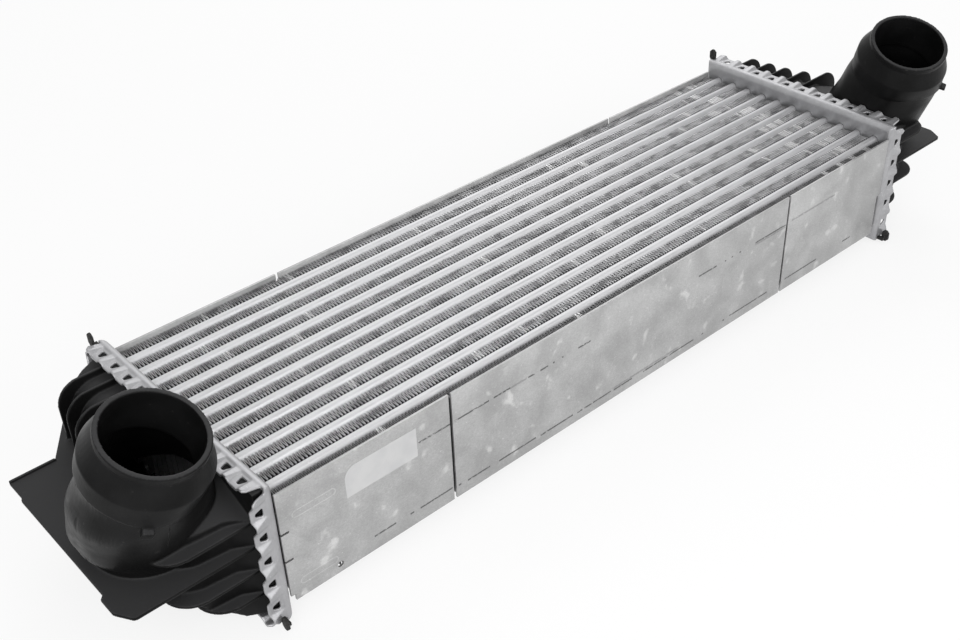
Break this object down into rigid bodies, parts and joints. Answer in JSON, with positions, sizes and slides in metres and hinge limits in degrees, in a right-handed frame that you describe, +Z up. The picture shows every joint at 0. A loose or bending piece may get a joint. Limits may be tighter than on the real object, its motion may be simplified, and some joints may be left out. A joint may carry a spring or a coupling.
{
  "type": "charge air intercooler",
  "caption": "Flat air-to-air intercooler: brazed core of flat tubes and folded fins between crimped headers, with a ribbed plastic tank and a leaning hose spigot at each end.",
  "frame": {"origin": "middle of the part's box, at the level of the header rims on which it rests", "axes": "+X along the tubes from the left tank to the right tank, +Z up out of the spigots, -Y towards the side plate that faces the viewer in the picture"},
  "size_m": [0.7168, 0.1844, 0.1559],
  "materials": {
    "tube_aluminium": "bright rolled",
    "fin_aluminium": "bright folded foil",
    "turbulator_aluminium": "folded foil",
    "plate_aluminium": "brazed, matt",
    "header_aluminium": "pressed, satin",
    "gasket_rubber": "moulded rubber",
    "tank_plastic": "glass-filled moulding, satin black"
  },
  "bodies": {
    "root": {"tube_01": "tube_aluminium", "tube_02": "tube_aluminium", "tube_03": "tube_aluminium", "tube_04": "tube_aluminium", "tube_05": "tube_aluminium", "tube_06": "tube_aluminium", "tube_07": "tube_aluminium", "tube_08": "tube_aluminium", "tube_09": "tube_aluminium", "tube_10": "tube_aluminium", "tube_11": "tube_aluminium", "turbulator_01": "turbulator_aluminium", "turbulator_02": "turbulator_aluminium", "turbulator_03": "turbulator_aluminium", "turbulator_04": "turbulator_aluminium", "turbulator_05": "turbulator_aluminium", "turbulator_06": "turbulator_aluminium", "turbulator_07": "turbulator_aluminium", "turbulator_08": "turbulator_aluminium", "turbulator_09": "turbulator_aluminium", "turbulator_10": "turbulator_aluminium", "turbulator_11": "turbulator_aluminium", "fin_01": "fin_aluminium", "fin_02": "fin_aluminium", "fin_03": "fin_aluminium", "fin_04": "fin_aluminium", "fin_05": "fin_aluminium", "fin_06": "fin_aluminium", "fin_07": "fin_aluminium", "fin_08": "fin_aluminium", "fin_09": "fin_aluminium", "fin_10": "fin_aluminium", "fin_11": "fin_aluminium", "fin_12": "fin_aluminium", "front_side_plate_left": "plate_aluminium", "front_side_plate_middle": "plate_aluminium", "front_side_plate_right": "plate_aluminium", "rear_side_plate_left": "plate_aluminium", "rear_side_plate_middle": "plate_aluminium", "rear_side_plate_right": "plate_aluminium", "left_header": "header_aluminium", "left_gasket": "gasket_rubber", "left_tank": "tank_plastic", "right_header": "header_aluminium", "right_gasket": "gasket_rubber", "right_tank": "tank_plastic"}
  },
  "joints": []
}
